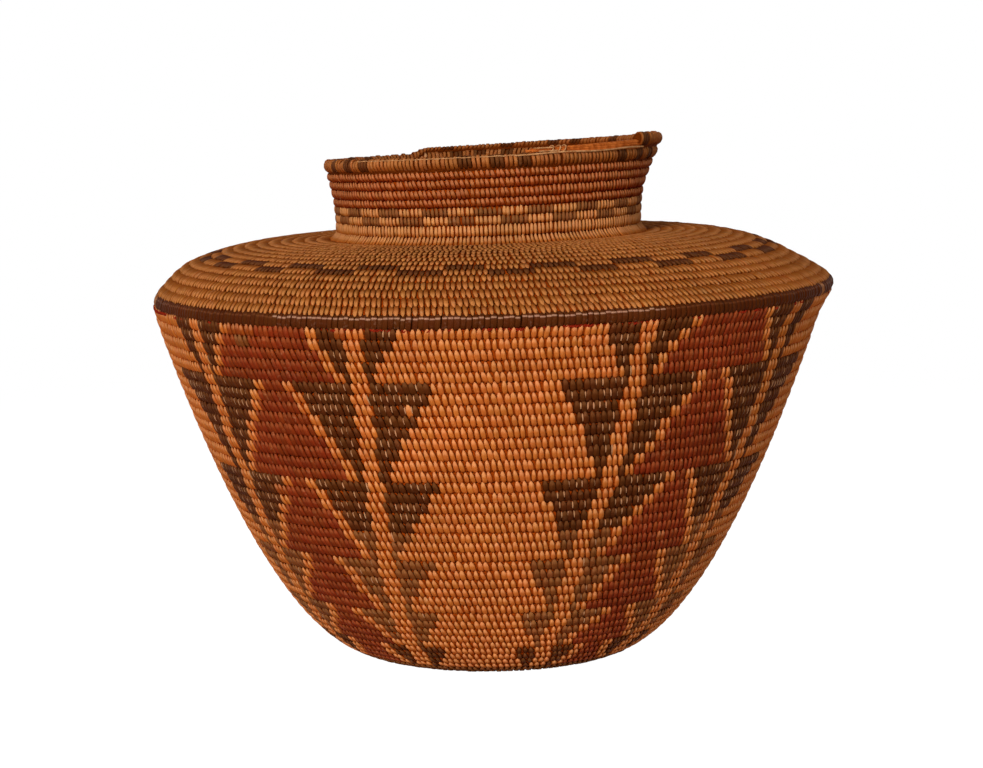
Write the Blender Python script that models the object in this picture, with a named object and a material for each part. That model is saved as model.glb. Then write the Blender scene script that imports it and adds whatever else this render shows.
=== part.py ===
"""Coiled bottleneck basket.

One bundle of grass stems is coiled from a knot under the middle of the base, out over the
flat base, up the flaring wall, round the sharp shoulder, in over the shoulder top and up the
short flaring neck. It ends on top of the rim, at the front right, where the wrapping is lost
and the bare stems show. Each sub-part is one band of that coil. A band is an unbroken tube
with a flat joint to the course below and above and a low crest outside.

Metres, +Z up. The origin is the middle of the face that the basket stands on, and the front
of the basket faces -Y. The front angle of a point is 0 at the front and grows to the right.
"""
import math

import bmesh
import bpy
import numpy as np
from mathutils import Vector

# Outer shape of the body
BASE_RADIUS = 0.0420
SHOULDER_RADIUS = 0.1150
SHOULDER_HEIGHT = 0.1250
SHOULDER_RISE = 0.0182
WALL_SWELL_SHARE = 0.543
SHOULDER_ARCH_SHARE = 2.7

# Outer shape of the neck
NECK_FOOT_RADIUS = 0.0580
NECK_WAIST_RADIUS = 0.0518
NECK_WAIST_RISE = 0.0065
RIM_RADIUS = 0.0571
RIM_RISE = 0.0272
RIM_FLARE_SHARE = 1.6
FOOT_FLARE_SHARE = 3.0

# The basket has sagged: its levels climb to the right, by this much for each metre
SHOULDER_LEAN_SHARE = 0.015
RIM_LEAN_SHARE = 0.031

# The coil
KNOT_RADIUS = 0.0030
COIL_DEPTH = 0.0036
COIL_CREST = 0.0008
COIL_GAP = 0.0006
END_GAP = 0.0003
RIDGE_COURSE = 0.0046
RIDGE_DEPTH = 0.0024
NECK_FOOT_COURSE = 0.0035
NECK_BLOCK_COURSE = 0.0032
NECK_BODY_COURSE = 0.00275
RIM_COURSE = 0.0042

# Courses in each band, and how far the last turn runs
BASE_TURNS = 11
HEEL_TURNS = 7
WALL_TIER_TURNS = (5, 6, 8, 9, 5)
SHOULDER_OUTER_TURNS = 5
SHOULDER_BLOCK_TURNS = 2
SHOULDER_INNER_TURNS = 9
NECK_FOOT_TURNS = 2
NECK_BLOCK_TURNS = 2
NECK_BODY_TURNS = 4
WRAPPED_RIM_SHARE = 0.394
BARE_RIM_SHARE = 0.138

# The bare stems at the coil's end are thinner than the wrapped coil all round
WRAP_THICKNESS = 0.0005

# The coil climbs to its next course at the back left, and evenly in the middle of the base
SEAM_ANGLE = math.radians(-156)
CLIMB_SHARE = 0.15
FACETS_PER_TURN = 20
KNOT_FACETS = 12

# Red yarn in the groove below the ridge
YARN_RADIUS = 0.00035
YARN_SEAT = 0.0003
YARN_FACETS = 5

# Samples along the outer shape, and the rounding of its two corners
PROFILE_SAMPLES = 240
RIDGE_ROUND = RIDGE_COURSE / 2
NECK_FOOT_ROUND = 0.0012
ROUND_SAMPLES = 12

# Colours of the sewing strands and stems: linear red, green and blue
TAN = (0.52, 0.22, 0.07)
OCHRE = (0.42, 0.20, 0.07)
RED_BROWN = (0.24, 0.06, 0.02)
DARK_BROWN = (0.06, 0.028, 0.015)
STEM = (0.55, 0.20, 0.05)
YARN_RED = (0.30, 0.02, 0.01)


def clear_scene():
    for item in list(bpy.data.objects):
        bpy.data.objects.remove(item)


def wall_point(share):
    """Point (radius, height) on the flaring wall, from the base's edge to the ridge."""
    radius = BASE_RADIUS + (SHOULDER_RADIUS - BASE_RADIUS) * share
    return Vector((radius, SHOULDER_HEIGHT * share ** (1 / WALL_SWELL_SHARE)))


def shoulder_point(share):
    """Point (radius, height) on the shoulder top, from the ridge in to the neck."""
    radius = SHOULDER_RADIUS + (NECK_FOOT_RADIUS - SHOULDER_RADIUS) * share
    arch = 1 - (1 - share) ** SHOULDER_ARCH_SHARE
    return Vector((radius, SHOULDER_HEIGHT + SHOULDER_RISE * arch))


def neck_point(rise):
    """Point (radius, height) on the neck, at a rise above its foot."""
    above = max(0, rise - NECK_WAIST_RISE) / (RIM_RISE - NECK_WAIST_RISE)
    below = max(0, NECK_WAIST_RISE - rise) / NECK_WAIST_RISE
    radius = NECK_WAIST_RADIUS
    radius += (RIM_RADIUS - NECK_WAIST_RADIUS) * above ** RIM_FLARE_SHARE
    radius += (NECK_FOOT_RADIUS - NECK_WAIST_RADIUS) * below ** FOOT_FLARE_SHARE
    return Vector((radius, SHOULDER_HEIGHT + SHOULDER_RISE + rise))


def rounded_corner(before, after, reach):
    """Join two runs of points, their meeting corner rounded over a reach on each side."""
    corner = after[0]
    kept_before = [point for point in before if (point - corner).length > reach]
    kept_after = [point for point in after if (point - corner).length > reach]
    start, end = kept_before[-1], kept_after[0]
    arc = []
    for step in range(1, ROUND_SAMPLES):
        share = step / ROUND_SAMPLES
        arc.append(start.lerp(corner, share).lerp(corner.lerp(end, share), share))
    return kept_before + arc + kept_after


class Profile:
    """The outer shape from the middle of the base to above the rim, by its length."""

    def __init__(self):
        shares = [step / PROFILE_SAMPLES for step in range(PROFILE_SAMPLES + 1)]
        neck_top = RIM_RISE + RIM_COURSE * 2
        wall = [Vector((0, 0))] + [wall_point(share) for share in shares]
        shoulder = [shoulder_point(share) for share in shares]
        neck = [neck_point(neck_top * share) for share in shares]
        body = rounded_corner(wall, shoulder, RIDGE_ROUND)
        points = rounded_corner(body, neck, NECK_FOOT_ROUND)
        self.radii = np.array([point.x for point in points])
        self.heights = np.array([point.y for point in points])
        steps = np.hypot(np.diff(self.radii), np.diff(self.heights))
        self.lengths = np.concatenate([[0], np.cumsum(steps)])
        self.ridge = self.lengths[int(np.argmax(self.radii))]
        foot = int(np.argmin(np.hypot(self.radii - neck[0].x, self.heights - neck[0].y)))
        self.neck_foot = self.lengths[foot]

    def at(self, length):
        radius = float(np.interp(length, self.lengths, self.radii))
        height = float(np.interp(length, self.lengths, self.heights))
        return Vector((radius, height))

    def outward(self, length):
        """Unit vector (radius, height) out of the basket, at a length."""
        reach = COIL_GAP
        along = self.at(length + reach) - self.at(max(0, length - reach))
        return Vector((along.y, -along.x)).normalized()


def course_edges(profile):
    """Length of each joint between courses, as if the courses were closed rings."""
    wall_turns = BASE_TURNS + HEEL_TURNS + sum(WALL_TIER_TURNS)
    shoulder_turns = SHOULDER_OUTER_TURNS + SHOULDER_BLOCK_TURNS + SHOULDER_INNER_TURNS
    start = KNOT_RADIUS + END_GAP
    ridge_start = profile.ridge - RIDGE_COURSE / 2
    ridge_end = profile.ridge + RIDGE_COURSE / 2
    edges = list(np.linspace(start, ridge_start, wall_turns + 1))
    edges += list(np.linspace(ridge_end, profile.neck_foot, shoulder_turns + 1))
    neck_courses = [NECK_FOOT_COURSE] * NECK_FOOT_TURNS
    neck_courses += [NECK_BLOCK_COURSE] * NECK_BLOCK_TURNS
    neck_courses += [NECK_BODY_COURSE] * NECK_BODY_TURNS
    neck_courses += [RIM_COURSE, NECK_BLOCK_COURSE, NECK_BLOCK_COURSE]
    for course in neck_courses:
        edges.append(edges[-1] + course)
    return edges


def lean(height):
    """Climb to the right, for each metre, at a height."""
    rim_height = SHOULDER_HEIGHT + SHOULDER_RISE + RIM_RISE
    if height < SHOULDER_HEIGHT:
        return SHOULDER_LEAN_SHARE * height / SHOULDER_HEIGHT
    share = (height - SHOULDER_HEIGHT) / (rim_height - SHOULDER_HEIGHT)
    return SHOULDER_LEAN_SHARE + (RIM_LEAN_SHARE - SHOULDER_LEAN_SHARE) * share


class Coil:
    """Places on the coil, by course number and the share of that turn."""

    def __init__(self, profile):
        self.profile = profile
        self.edges = course_edges(profile)

    def joint(self, course, share):
        """Length of the joint below a course, with its climb to the next course."""
        in_base = min(1, course / BASE_TURNS)
        climb_share = 1 + (CLIMB_SHARE - 1) * in_base
        climb = max(0, (share - 1 + climb_share) / climb_share)
        return self.edges[course] + (self.edges[course + 1] - self.edges[course]) * climb

    def place(self, length, inset, share):
        """World point at a length on the outer shape, an inset inside it, in a turn."""
        angle = SEAM_ANGLE - math.tau * share
        flat = self.profile.at(length) - self.profile.outward(length) * inset
        radius = flat.x * 2 / (1 + math.cos(math.pi / FACETS_PER_TURN))
        x = radius * math.sin(angle)
        return Vector((x, -radius * math.cos(angle), flat.y + lean(flat.y) * x))

    def section(self, course, share, depth, crest, inset=0):
        """The coil's outline across, anticlockwise seen from behind its growing end."""
        low = self.joint(course, share) + COIL_GAP / 2 + inset
        high = self.joint(course + 1, share) - COIL_GAP / 2 - inset
        outline = [(low, depth), (low, crest + inset), (high, crest + inset), (high, depth)]
        if crest > 0:
            outline.insert(2, ((low + high) / 2, inset))
        return [self.place(length, back, share) for length, back in outline]


def turns_between(first, last):
    """Course and share of each station from one place on the coil to another."""
    steps = max(1, round((last - first) * FACETS_PER_TURN))
    places = [first + (last - first) * step / steps for step in range(steps + 1)]
    stations = [(int(place), place - int(place)) for place in places]
    course, share = stations[-1]
    if share == 0:
        stations[-1] = (course - 1, 1)
    return stations


def material(name, colour, roughness):
    made = bpy.data.materials.new(name)
    made.use_nodes = True
    shader = made.node_tree.nodes["Principled BSDF"]
    shader.inputs["Base Color"].default_value = (*colour, 1)
    shader.inputs["Roughness"].default_value = roughness
    shader.inputs["Metallic"].default_value = 0
    return made


def add_part(name, bm, surface):
    bmesh.ops.recalc_face_normals(bm, faces=bm.faces)
    mesh = bpy.data.meshes.new(name)
    bm.to_mesh(mesh)
    bm.free()
    mesh.materials.append(surface)
    mesh.shade_smooth()
    mesh.set_sharp_from_angle(angle=math.radians(35))
    part = bpy.data.objects.new(name, mesh)
    bpy.context.scene.collection.objects.link(part)
    return part


def sweep(name, sections, surface):
    """Extrude the first section through the others as one closed tube."""
    bm = bmesh.new()
    start = bm.faces.new([bm.verts.new(point) for point in sections[0]])
    face = start
    for section in sections[1:]:
        step = bmesh.ops.extrude_face_region(bm, geom=[face])
        if face != start:
            bmesh.ops.delete(bm, geom=[face], context="FACES_ONLY")
        face = next(item for item in step["geom"] if isinstance(item, bmesh.types.BMFace))
        for vert, point in zip(face.verts, section):
            vert.co = point
    return add_part(name, bm, surface)


def least_self_gap(sections):
    """Least distance between the points of a tube that lie half a turn or more apart."""
    points = np.array([[tuple(point) for point in section] for section in sections])
    least = math.inf
    for index in range(len(points) - FACETS_PER_TURN // 2):
        later = points[index + FACETS_PER_TURN // 2:].reshape(-1, 3)
        apart = points[index][:, None] - later[None]
        least = min(least, float(np.linalg.norm(apart, axis=2).min()))
    return least


def coil_band(coil, name, first, last, surface, depth=COIL_DEPTH, crest=COIL_CREST):
    """One band of the wrapped coil, with half the end gap left open at each end."""
    stations = turns_between(first, last)
    sections = [coil.section(course, share, depth, crest) for course, share in stations]
    trim_end(sections, 0, 1)
    trim_end(sections, -1, -2)
    if last - first > 1:
        print(name, "least gap to itself, mm:", round(least_self_gap(sections) * 1000, 3))
    return sweep(name, sections, surface)


def trim_end(sections, end, inner):
    """Draw a tube's end back by half the end gap, towards the next section inside it."""
    reach = (sections[inner][0] - sections[end][0]).length
    share = END_GAP / 2 / reach
    pairs = zip(sections[end], sections[inner])
    sections[end] = [point.lerp(inside, share) for point, inside in pairs]


def start_knot(surface):
    """The small round knot that the coil starts from."""
    bm = bmesh.new()
    bmesh.ops.create_cone(bm, cap_ends=True, segments=KNOT_FACETS, radius1=KNOT_RADIUS,
                          radius2=KNOT_RADIUS, depth=COIL_DEPTH)
    bmesh.ops.translate(bm, vec=Vector((0, 0, COIL_DEPTH / 2)), verts=bm.verts)
    return add_part("start_knot", bm, surface)


def shoulder_yarn(coil, ridge_course, surface):
    """Red yarn laid in the groove below the ridge, up to where the coil climbs."""
    middle = COIL_CREST - YARN_SEAT - YARN_RADIUS
    last = ridge_course + 1 - CLIMB_SHARE
    sections = []
    for course, share in turns_between(ridge_course, last):
        groove = coil.joint(course, share)
        section = []
        for step in range(YARN_FACETS):
            turn = math.tau * step / YARN_FACETS
            length = groove + YARN_RADIUS * math.cos(turn)
            section.append(coil.place(length, middle + YARN_RADIUS * math.sin(turn), share))
        sections.append(section)
    return sweep("shoulder_yarn", sections, surface)


def bare_rim_foundation(coil, first, last, surface):
    """The coil's last stretch, whose wrapping is lost."""
    sections = []
    for course, share in turns_between(first, last):
        depth = COIL_DEPTH - WRAP_THICKNESS
        sections.append(coil.section(course, share, depth, COIL_CREST, WRAP_THICKNESS))
    trim_end(sections, 0, 1)
    return sweep("bare_rim_foundation", sections, surface)


def build():
    clear_scene()
    tan = material("tan_strands", TAN, 0.6)
    ochre = material("ochre_strands", OCHRE, 0.65)
    red_brown = material("red_brown_strands", RED_BROWN, 0.6)
    dark = material("dark_strands", DARK_BROWN, 0.45)
    stem = material("bare_stems", STEM, 0.7)
    yarn = material("red_yarn", YARN_RED, 0.95)

    coil = Coil(Profile())
    start_knot(tan)
    coil_band(coil, "base_coil", 0, BASE_TURNS, tan, crest=0)
    course = BASE_TURNS
    bands = [("heel_coil", HEEL_TURNS, tan)]
    for step, turns in enumerate(WALL_TIER_TURNS):
        tier = len(WALL_TIER_TURNS) - step
        bands.append((f"wall_tier_{tier}_coil", turns, red_brown if tier % 2 else tan))
    for name, turns, surface in bands:
        coil_band(coil, name, course, course + turns, surface)
        course += turns

    shoulder_yarn(coil, course, yarn)
    coil_band(coil, "shoulder_ridge_coil", course, course + 1, dark, depth=RIDGE_DEPTH)
    course += 1
    bands = [("shoulder_outer_coil", SHOULDER_OUTER_TURNS, ochre),
             ("shoulder_block_coil", SHOULDER_BLOCK_TURNS, dark),
             ("shoulder_inner_coil", SHOULDER_INNER_TURNS, ochre),
             ("neck_foot_coil", NECK_FOOT_TURNS, tan),
             ("neck_block_coil", NECK_BLOCK_TURNS, dark),
             ("neck_body_coil", NECK_BODY_TURNS, red_brown)]
    for name, turns, surface in bands:
        coil_band(coil, name, course, course + turns, surface)
        course += turns

    wrapped_end = course + 1 + WRAPPED_RIM_SHARE
    coil_band(coil, "rim_coil", course, wrapped_end, tan)
    bare_rim_foundation(coil, wrapped_end, wrapped_end + BARE_RIM_SHARE, stem)


build()
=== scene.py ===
"""A coiled bottleneck basket, dressed stitch by stitch around its plain bands.

The foundation is one long bundle of stems, and every sewing strand that shows is a strand of
its own, bent onto the coil. A place on the coil is a turn number, counted from the knot under
the base. A front angle is 0 at the front of the basket and grows to the right.
"""
import math

import bmesh
import bpy
import numpy as np
from mathutils import Matrix, Vector


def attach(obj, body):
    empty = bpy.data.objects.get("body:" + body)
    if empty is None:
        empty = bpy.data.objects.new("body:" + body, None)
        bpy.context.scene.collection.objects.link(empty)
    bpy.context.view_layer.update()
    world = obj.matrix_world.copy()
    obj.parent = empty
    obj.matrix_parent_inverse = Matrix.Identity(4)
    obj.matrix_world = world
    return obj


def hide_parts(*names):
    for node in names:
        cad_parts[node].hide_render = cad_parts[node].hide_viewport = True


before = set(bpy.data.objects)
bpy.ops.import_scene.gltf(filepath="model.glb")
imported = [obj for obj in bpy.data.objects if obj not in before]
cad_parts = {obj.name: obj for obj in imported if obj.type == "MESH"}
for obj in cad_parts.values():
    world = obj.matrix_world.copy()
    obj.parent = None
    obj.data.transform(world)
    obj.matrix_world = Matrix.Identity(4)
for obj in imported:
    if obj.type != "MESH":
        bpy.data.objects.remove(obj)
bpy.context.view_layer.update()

# Outer shape of the body and neck
BASE_RADIUS = 0.0420
SHOULDER_RADIUS = 0.1153
SHOULDER_HEIGHT = 0.1248
SHOULDER_RISE = 0.0178
WALL_SWELL = 0.543
SHOULDER_EASE = 1.3
SHOULDER_ARCH = 3.17
SHOULDER_FULLNESS = 0.920
NECK_FOOT_RADIUS = 0.0540
NECK_WAIST_RADIUS = 0.0518
NECK_WAIST_RISE = 0.00355
RIM_RADIUS = 0.0552
RIM_RISE = 0.0250
RIM_FLARE = 1.94
FOOT_FLARE = 3.0

# The coil
KNOT_RADIUS = 0.0030
COIL_DEPTH = 0.0036
COIL_GAP = 0.0006
END_GAP = 0.0003
RIDGE_COURSE = 0.0046
RIDGE_DEPTH = 0.0024
NECK_COURSES = (0.0033, 0.0034, 0.0029, 0.0029, 0.0028, 0.0033, 0.0031, 0.0029,
                0.0046, 0.0032, 0.0032)
SEAM_ANGLE = math.radians(-156)
CLIMB_SHARE = 0.15
RIM_CLIMB_SHARE = 0.02
PROFILE_SAMPLES = 240
RATE_SAMPLES = 2000
ROUND_SAMPLES = 12
NECK_FOOT_ROUND = 0.0012

# Turn at which each band of the coil starts
BASE_TURNS = 11
WALL_TURNS = 51
SHOULDER_TURNS = 16
HEEL, TIER_5, TIER_4, TIER_3, TIER_2, TIER_1 = 11, 18, 23, 29, 37, 46
RIDGE, SHOULDER_OUTER, SHOULDER_BLOCK, SHOULDER_INNER = 51, 52, 57, 59
NECK_FOOT, NECK_BLOCK, NECK_BODY, RIM = 68, 70, 72, 76
WRAP_END = 77.399
STEM_END = 77.532

# The loose last half turn of the rim sinks at its start and lifts towards its end
LAST_TURN_SINK = 0.0013
LAST_TURN_LIFT = 0.0042
LAST_TURN_POWER = 1.38

# The old basket has settled: it leans to the right by an amount that changes with the height,
# the back of its rim sags, and its ridge stands out more on the right than on the left
RIM_HEIGHT = SHOULDER_HEIGHT + SHOULDER_RISE + RIM_RISE
LEAN_LEVELS = (0, 0.0900, SHOULDER_HEIGHT, SHOULDER_HEIGHT + 0.55 * SHOULDER_RISE,
               SHOULDER_HEIGHT + SHOULDER_RISE, RIM_HEIGHT)
LEANS = (0, 0.0134, 0.0191, 0.0105, 0.0222, 0.0388)
RIM_SAG = 0.0026
RIDGE_PUSH = 0.0018
RIDGE_PUSH_REACH = 0.006
# and its rim is pulled out at the right
RIM_PULL = 0.0020
RIM_PULL_DROP = 0.010
RIM_PULL_REACH = 0.012
RIM_PULL_POWER = 6
# The middle courses of the wall are thicker than those near the base, so that the lower
# joints lie nearer to the base than even courses would put them; at the sides they sink more
SETTLE_TURNS = (0, 11, 18, 21, 27, 31.5, 35.5, 37.5, 39.5, 41.5, 43.5, 46)
SETTLED = (0, 0.0016, 0.0028, 0.0036, 0.0035, 0.00315, 0.00265, 0.00225, 0.0016, 0.0010,
           0.0004, 0)
SIDE_DROP = 0.0018
SIDE_DROP_REACH = 0.012

rng = np.random.default_rng(7)


def rounded_corner(before, after, reach):
    """Join two runs of points, their meeting corner rounded over a reach on each side."""
    corner = after[0]
    kept_before = before[np.linalg.norm(before - corner, axis=1) > reach]
    kept_after = after[np.linalg.norm(after - corner, axis=1) > reach]
    share = np.arange(1, ROUND_SAMPLES)[:, None] / ROUND_SAMPLES
    near = kept_before[-1] + (corner - kept_before[-1]) * share
    far = corner + (kept_after[0] - corner) * share
    return np.concatenate([kept_before, near + (far - near) * share, kept_after])


class Coil:
    """The outer shape of the basket, and the course joints of the coil that follows it."""

    def __init__(self):
        share = np.linspace(0, 1, PROFILE_SAMPLES + 1)
        wall = np.stack([BASE_RADIUS + (SHOULDER_RADIUS - BASE_RADIUS) * share,
                         SHOULDER_HEIGHT * share ** (1 / WALL_SWELL)], axis=1)
        wall = np.concatenate([[[0, 0]], wall])
        inward = share ** SHOULDER_EASE
        arch = (1 - (1 - inward) ** SHOULDER_ARCH) ** SHOULDER_FULLNESS
        shoulder = np.stack([SHOULDER_RADIUS + (NECK_FOOT_RADIUS - SHOULDER_RADIUS) * inward,
                             SHOULDER_HEIGHT + SHOULDER_RISE * arch], axis=1)
        rise = (sum(NECK_COURSES) + LAST_TURN_LIFT) * share
        above = np.maximum(0, rise - NECK_WAIST_RISE) / (RIM_RISE - NECK_WAIST_RISE)
        below = np.maximum(0, NECK_WAIST_RISE - rise) / NECK_WAIST_RISE
        radius = (NECK_WAIST_RADIUS + (RIM_RADIUS - NECK_WAIST_RADIUS) * above ** RIM_FLARE
                  + (NECK_FOOT_RADIUS - NECK_WAIST_RADIUS) * below ** FOOT_FLARE)
        neck = np.stack([radius, SHOULDER_HEIGHT + SHOULDER_RISE + rise], axis=1)
        points = rounded_corner(wall, shoulder, RIDGE_COURSE / 2)
        points = rounded_corner(points, neck, NECK_FOOT_ROUND)
        self.radii, self.heights = points.T
        steps = np.linalg.norm(np.diff(points, axis=0), axis=1)
        self.lengths = np.concatenate([[0], np.cumsum(steps)])
        ridge = self.lengths[np.argmax(self.radii)]
        neck_foot = self.lengths[np.argmin(np.linalg.norm(points - neck[0], axis=1))]
        half = RIDGE_COURSE / 2
        wall_edges = np.linspace(KNOT_RADIUS + END_GAP, ridge - half, WALL_TURNS + 1)
        wall_edges -= np.interp(np.arange(WALL_TURNS + 1), SETTLE_TURNS, SETTLED)
        self.wall_end = wall_edges[-1]
        self.edges = np.concatenate([
            wall_edges,
            np.linspace(ridge + half, neck_foot, SHOULDER_TURNS + 1),
            neck_foot + np.cumsum(NECK_COURSES)])

    def joint(self, turn, above=0):
        """Length, along the outer shape, of the joint below a turn or some turns above it."""
        course = np.floor(turn).astype(int)
        share = turn - course
        course = course + above
        climb_share = 1 + (CLIMB_SHARE - 1) * np.minimum(1, course / BASE_TURNS)
        climb_share = np.where(course >= RIM, RIM_CLIMB_SHARE, climb_share)
        climb = np.maximum(0, (share - 1 + climb_share) / climb_share)
        length = self.edges[course] + (self.edges[course + 1] - self.edges[course]) * climb
        over_rim = LAST_TURN_LIFT * (2 * share) ** LAST_TURN_POWER - LAST_TURN_SINK
        return length + np.where(course > RIM + 1, over_rim,
                                 np.where(course == RIM + 1, -LAST_TURN_SINK * climb, 0))

    def at(self, length):
        return (np.interp(length, self.lengths, self.radii),
                np.interp(length, self.lengths, self.heights))

    def place(self, length, height, angle):
        """Points at lengths along the outer shape, heights off it and front angles."""
        on_wall = np.clip(length / BASE_RADIUS - 1, 0, 1)
        on_wall = on_wall * np.clip((self.wall_end - length) / SIDE_DROP_REACH, 0, 1)
        length = length - SIDE_DROP * on_wall * np.sin(angle) ** 2
        radius, level = self.at(length)
        ahead, behind = self.at(length + COIL_GAP), self.at(np.maximum(0, length - COIL_GAP))
        run, climb = ahead[0] - behind[0], ahead[1] - behind[1]
        size = np.hypot(run, climb)
        radius = radius + climb / size * height
        level = level - run / size * height
        x = radius * np.sin(angle)
        up = np.maximum(0, level - SHOULDER_HEIGHT) / (RIM_HEIGHT - SHOULDER_HEIGHT)
        pull = RIM_PULL * np.clip((level - RIM_HEIGHT + RIM_PULL_DROP) / RIM_PULL_REACH, 0, 1)
        pull = pull * np.maximum(0, np.sin(angle)) ** RIM_PULL_POWER
        level = level + np.interp(level, LEAN_LEVELS, LEANS) * x
        level = level - RIM_SAG * up * (1 - np.cos(angle)) / 2
        push = RIDGE_PUSH * np.exp(-((level - SHOULDER_HEIGHT) / RIDGE_PUSH_REACH) ** 2)
        return np.stack([x + push + pull, -radius * np.cos(angle), level], axis=-1)


coil = Coil()


def angle_of(turn):
    return SEAM_ANGLE - math.tau * turn


def on_coil(turn, length, height):
    """Points at turns, lengths along the outer shape and heights off it."""
    return coil.place(length, height, angle_of(turn))


def front_degrees(turn):
    """Front angle of turns, in degrees from -180 to 180."""
    return (np.degrees(angle_of(turn)) + 180) % 360 - 180


def stitches_along(first, last, per_turn, per_turn_end=None):
    """Turn of each stitch in a band, with so many a turn at its start and at its end."""
    end = per_turn if per_turn_end is None else per_turn_end
    turns = np.linspace(first, last, RATE_SAMPLES)
    rate = per_turn + (end - per_turn) * (turns - first) / (last - first)
    count = np.concatenate([[0], np.cumsum((rate[1:] + rate[:-1]) / 2 * np.diff(turns))])
    places = np.interp(np.arange(0.5, count[-1] - 0.25), count, turns)
    return places, np.interp(places, turns, rate)


# Pieces

def add_object(name, data):
    made = bpy.data.objects.new(name, data)
    bpy.context.scene.collection.objects.link(made)
    return made


def add_piece(name, mesh, nodes, materials):
    mesh.name = name
    for item in materials:
        mesh.materials.append(item)
    mesh.shade_smooth()
    piece = add_object(name, mesh)
    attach(piece, "root")
    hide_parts(*nodes)


def mesh_of(bm, name):
    mesh = bpy.data.meshes.new(name)
    bm.to_mesh(mesh)
    bm.free()
    return mesh


def take_mesh(holder):
    """The mesh of an object as its modifiers or curve settings leave it; the object goes."""
    bpy.context.view_layer.update()
    made = bpy.data.meshes.new_from_object(
        holder.evaluated_get(bpy.context.evaluated_depsgraph_get()))
    bpy.data.objects.remove(holder)
    return made


BLANK_STEP = 0.2


def blank_strands(count, stations):
    """Straight strands a unit apart along X, each a run of four-cornered sections up Z."""
    bm = bmesh.new()
    corners = [((place - 1.5) * BLANK_STEP, side, 0) for place, side in enumerate((0, 1, 1, 0))]
    start = face = bm.faces.new([bm.verts.new(corner) for corner in corners])
    for _ in range(stations - 1):
        step = bmesh.ops.extrude_face_region(bm, geom=[face])
        if face != start:
            bmesh.ops.delete(bm, geom=[face], context="FACES_ONLY")
        face = next(item for item in step["geom"] if isinstance(item, bmesh.types.BMFace))
        bmesh.ops.translate(bm, vec=(0, 0, 1), verts=face.verts)
    bmesh.ops.recalc_face_normals(bm, faces=bm.faces)
    holder = add_object("blank", mesh_of(bm, "blank"))
    run = holder.modifiers.new("run", "ARRAY")
    run.use_relative_offset = False
    run.use_constant_offset = True
    run.constant_offset_displace = (1, 0, 0)
    run.count = count
    return take_mesh(holder)


def read_points(mesh):
    points = np.empty(len(mesh.vertices) * 3, np.float32)
    mesh.vertices.foreach_get("co", points)
    return points.reshape(-1, 3)


def write_points(mesh, points):
    mesh.vertices.foreach_set("co", points.astype(np.float32).ravel())
    mesh.update()


def read_faces(mesh):
    """The first corner of each face, and the point at each corner."""
    first_corner = np.empty(len(mesh.polygons), np.int32)
    mesh.polygons.foreach_get("loop_start", first_corner)
    verts = np.empty(len(mesh.loops), np.int32)
    mesh.loops.foreach_get("vertex_index", verts)
    return first_corner, verts


def point_attribute(mesh, name, values):
    layer = mesh.attributes.new(name, "FLOAT_VECTOR", "POINT")
    layer.data.foreach_set("vector", values.astype(np.float32).ravel())


def bake_map(mesh, u, v):
    """Add the map named OFBake, on which the piece lies flat."""
    layer = mesh.uv_layers.new(name="OFBake")
    layer.data.foreach_set("uv", np.stack([u, v], axis=1).astype(np.float32).ravel())


CORNER_REACH = np.array([-1, -0.64, 0.64, 1])
STRAND_THICKNESS = 0.00045
# What differs from strand to strand, its middle and how much it varies: width, reach along the
# strand, height in metres, place across and along, as shares of pitch and course, and slant
VARIES = (("width", 1, 0.07), ("reach", 1, 0.05), ("lift", 0, 0.00005), ("shift", 0, 0.06),
          ("slide", 0, 0.025), ("slant", 1, 0.25))
TONE_VARIES = 0.15
# and how much tone and place swing along each course, in so many waves
WAVES = 3
TONE_SWING = 0.07
SLIDE_SWING = 0.03


class Stitches:
    """A band's strands: where each lies on the coil, and how it varies from its neighbours."""

    def __init__(self, first, last, per_turn, per_turn_end=None):
        self.turn, self.rate = stitches_along(first, last, per_turn, per_turn_end)
        self.vary()

    def vary(self):
        self.count = len(self.turn)
        self.low = coil.joint(self.turn)
        self.high = coil.joint(self.turn, 1)
        self.row = np.floor(self.turn).astype(int)
        self.front = front_degrees(self.turn)
        self.kind = np.zeros(self.count, int)
        for name, middle, varies in VARIES:
            setattr(self, name, middle + rng.normal(0, varies, self.count))
        self.tone = rng.random((self.count, 3))
        course = self.row - self.row.min()
        start = rng.uniform(0, math.tau, (course.max() + 1, WAVES))
        swing = [np.sin(np.radians(self.front) * (2 + 3 * wave) + start[course, wave])
                 for wave in range(WAVES)]
        own = rng.normal(0, TONE_VARIES, self.count)
        self.tone[:, 0] = np.clip(0.5 + TONE_SWING * sum(swing) + own, 0, 1)
        self.slide += SLIDE_SWING * swing[0]

    def between(self, chosen):
        """Strands in the gaps after the chosen stitches of this band."""
        made = Stitches.__new__(Stitches)
        made.turn = (self.turn[:-1] + self.turn[1:])[chosen] / 2
        made.rate = self.rate[:-1][chosen]
        made.vary()
        return made


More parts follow.
